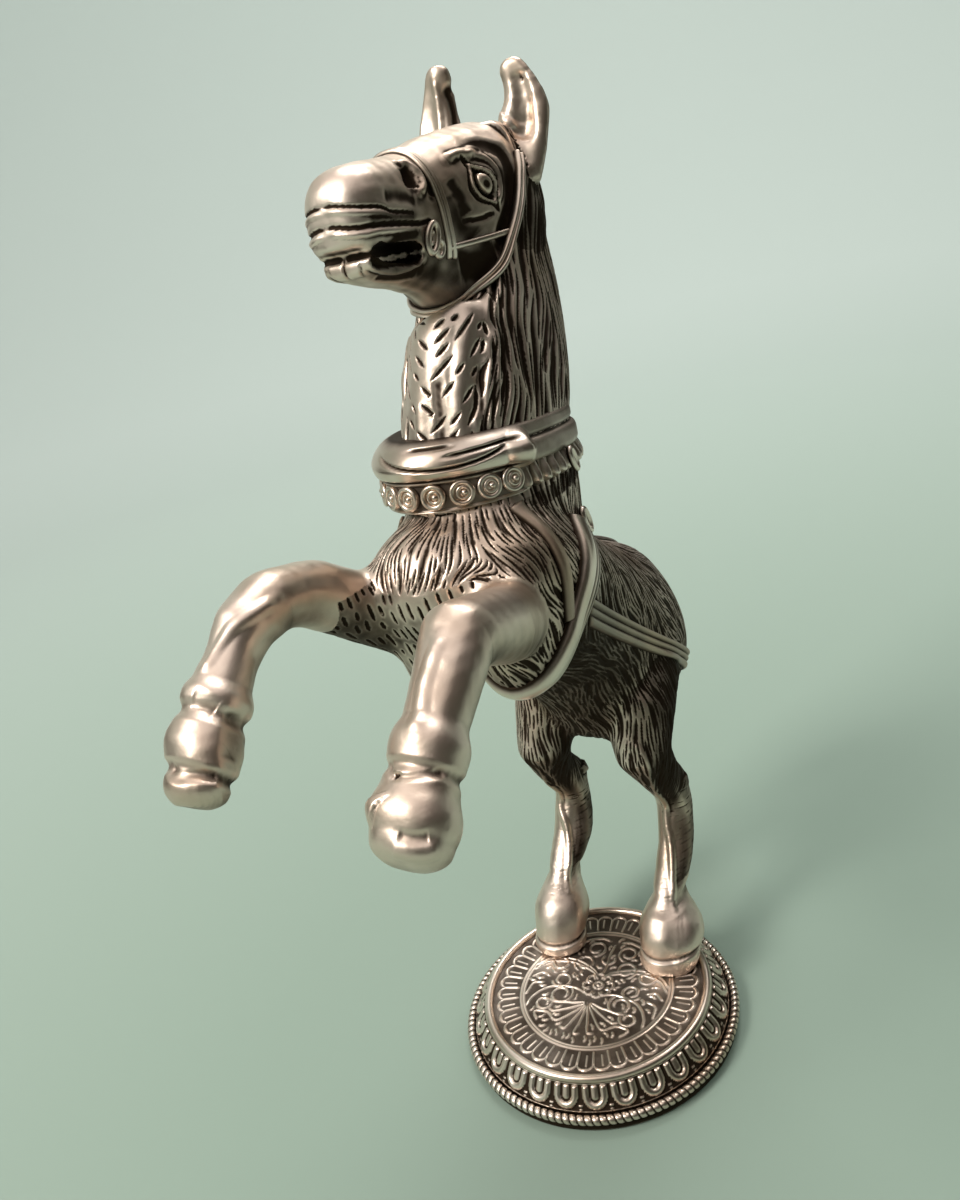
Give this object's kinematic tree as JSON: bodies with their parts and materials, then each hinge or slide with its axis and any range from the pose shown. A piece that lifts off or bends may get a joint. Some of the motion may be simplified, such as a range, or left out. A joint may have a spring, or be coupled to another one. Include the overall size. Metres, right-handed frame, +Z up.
{
  "type": "horse figurine",
  "caption": "Rearing horse in antique-silver cast metal with collar, girth and halter, standing on its hind hooves on a round base with a petal band and a rope rim.",
  "frame": {"origin": "centre of the felt pad's underside, which the figurine rests on", "axes": "+Z up; the horse faces -Y and its left side is +X"},
  "size_m": [0.0926, 0.2123, 0.2972],
  "materials": {
    "cast_metal": "antique silver, dark brown-black in the recesses",
    "polished_metal": "polished antique silver",
    "fixing_steel": "plain zinc",
    "felt": "pressed wool felt"
  },
  "bodies": {
    "root": {"forehand": "cast_metal", "hindquarters": "cast_metal", "neck": "cast_metal", "head": "cast_metal", "ear_left": "cast_metal", "ear_right": "cast_metal", "foreleg_left": "cast_metal", "foreleg_right": "cast_metal", "hind_leg_left": "cast_metal", "hind_leg_right": "cast_metal", "tail": "cast_metal", "base": "cast_metal", "collar": "polished_metal", "girth": "polished_metal", "crupper": "polished_metal", "breeching_left": "polished_metal", "breeching_right": "polished_metal", "breast_strap_left": "polished_metal", "breast_strap_right": "polished_metal", "throat_strap": "polished_metal", "noseband": "polished_metal", "cheek_strap_left": "polished_metal", "cheek_strap_right": "polished_metal", "rosette_left": "polished_metal", "rosette_right": "polished_metal", "rope_rim": "polished_metal", "stud_left": "fixing_steel", "stud_right": "fixing_steel", "washer_left": "fixing_steel", "washer_right": "fixing_steel", "nut_left": "fixing_steel", "nut_right": "fixing_steel", "felt_pad": "felt"}
  },
  "joints": []
}
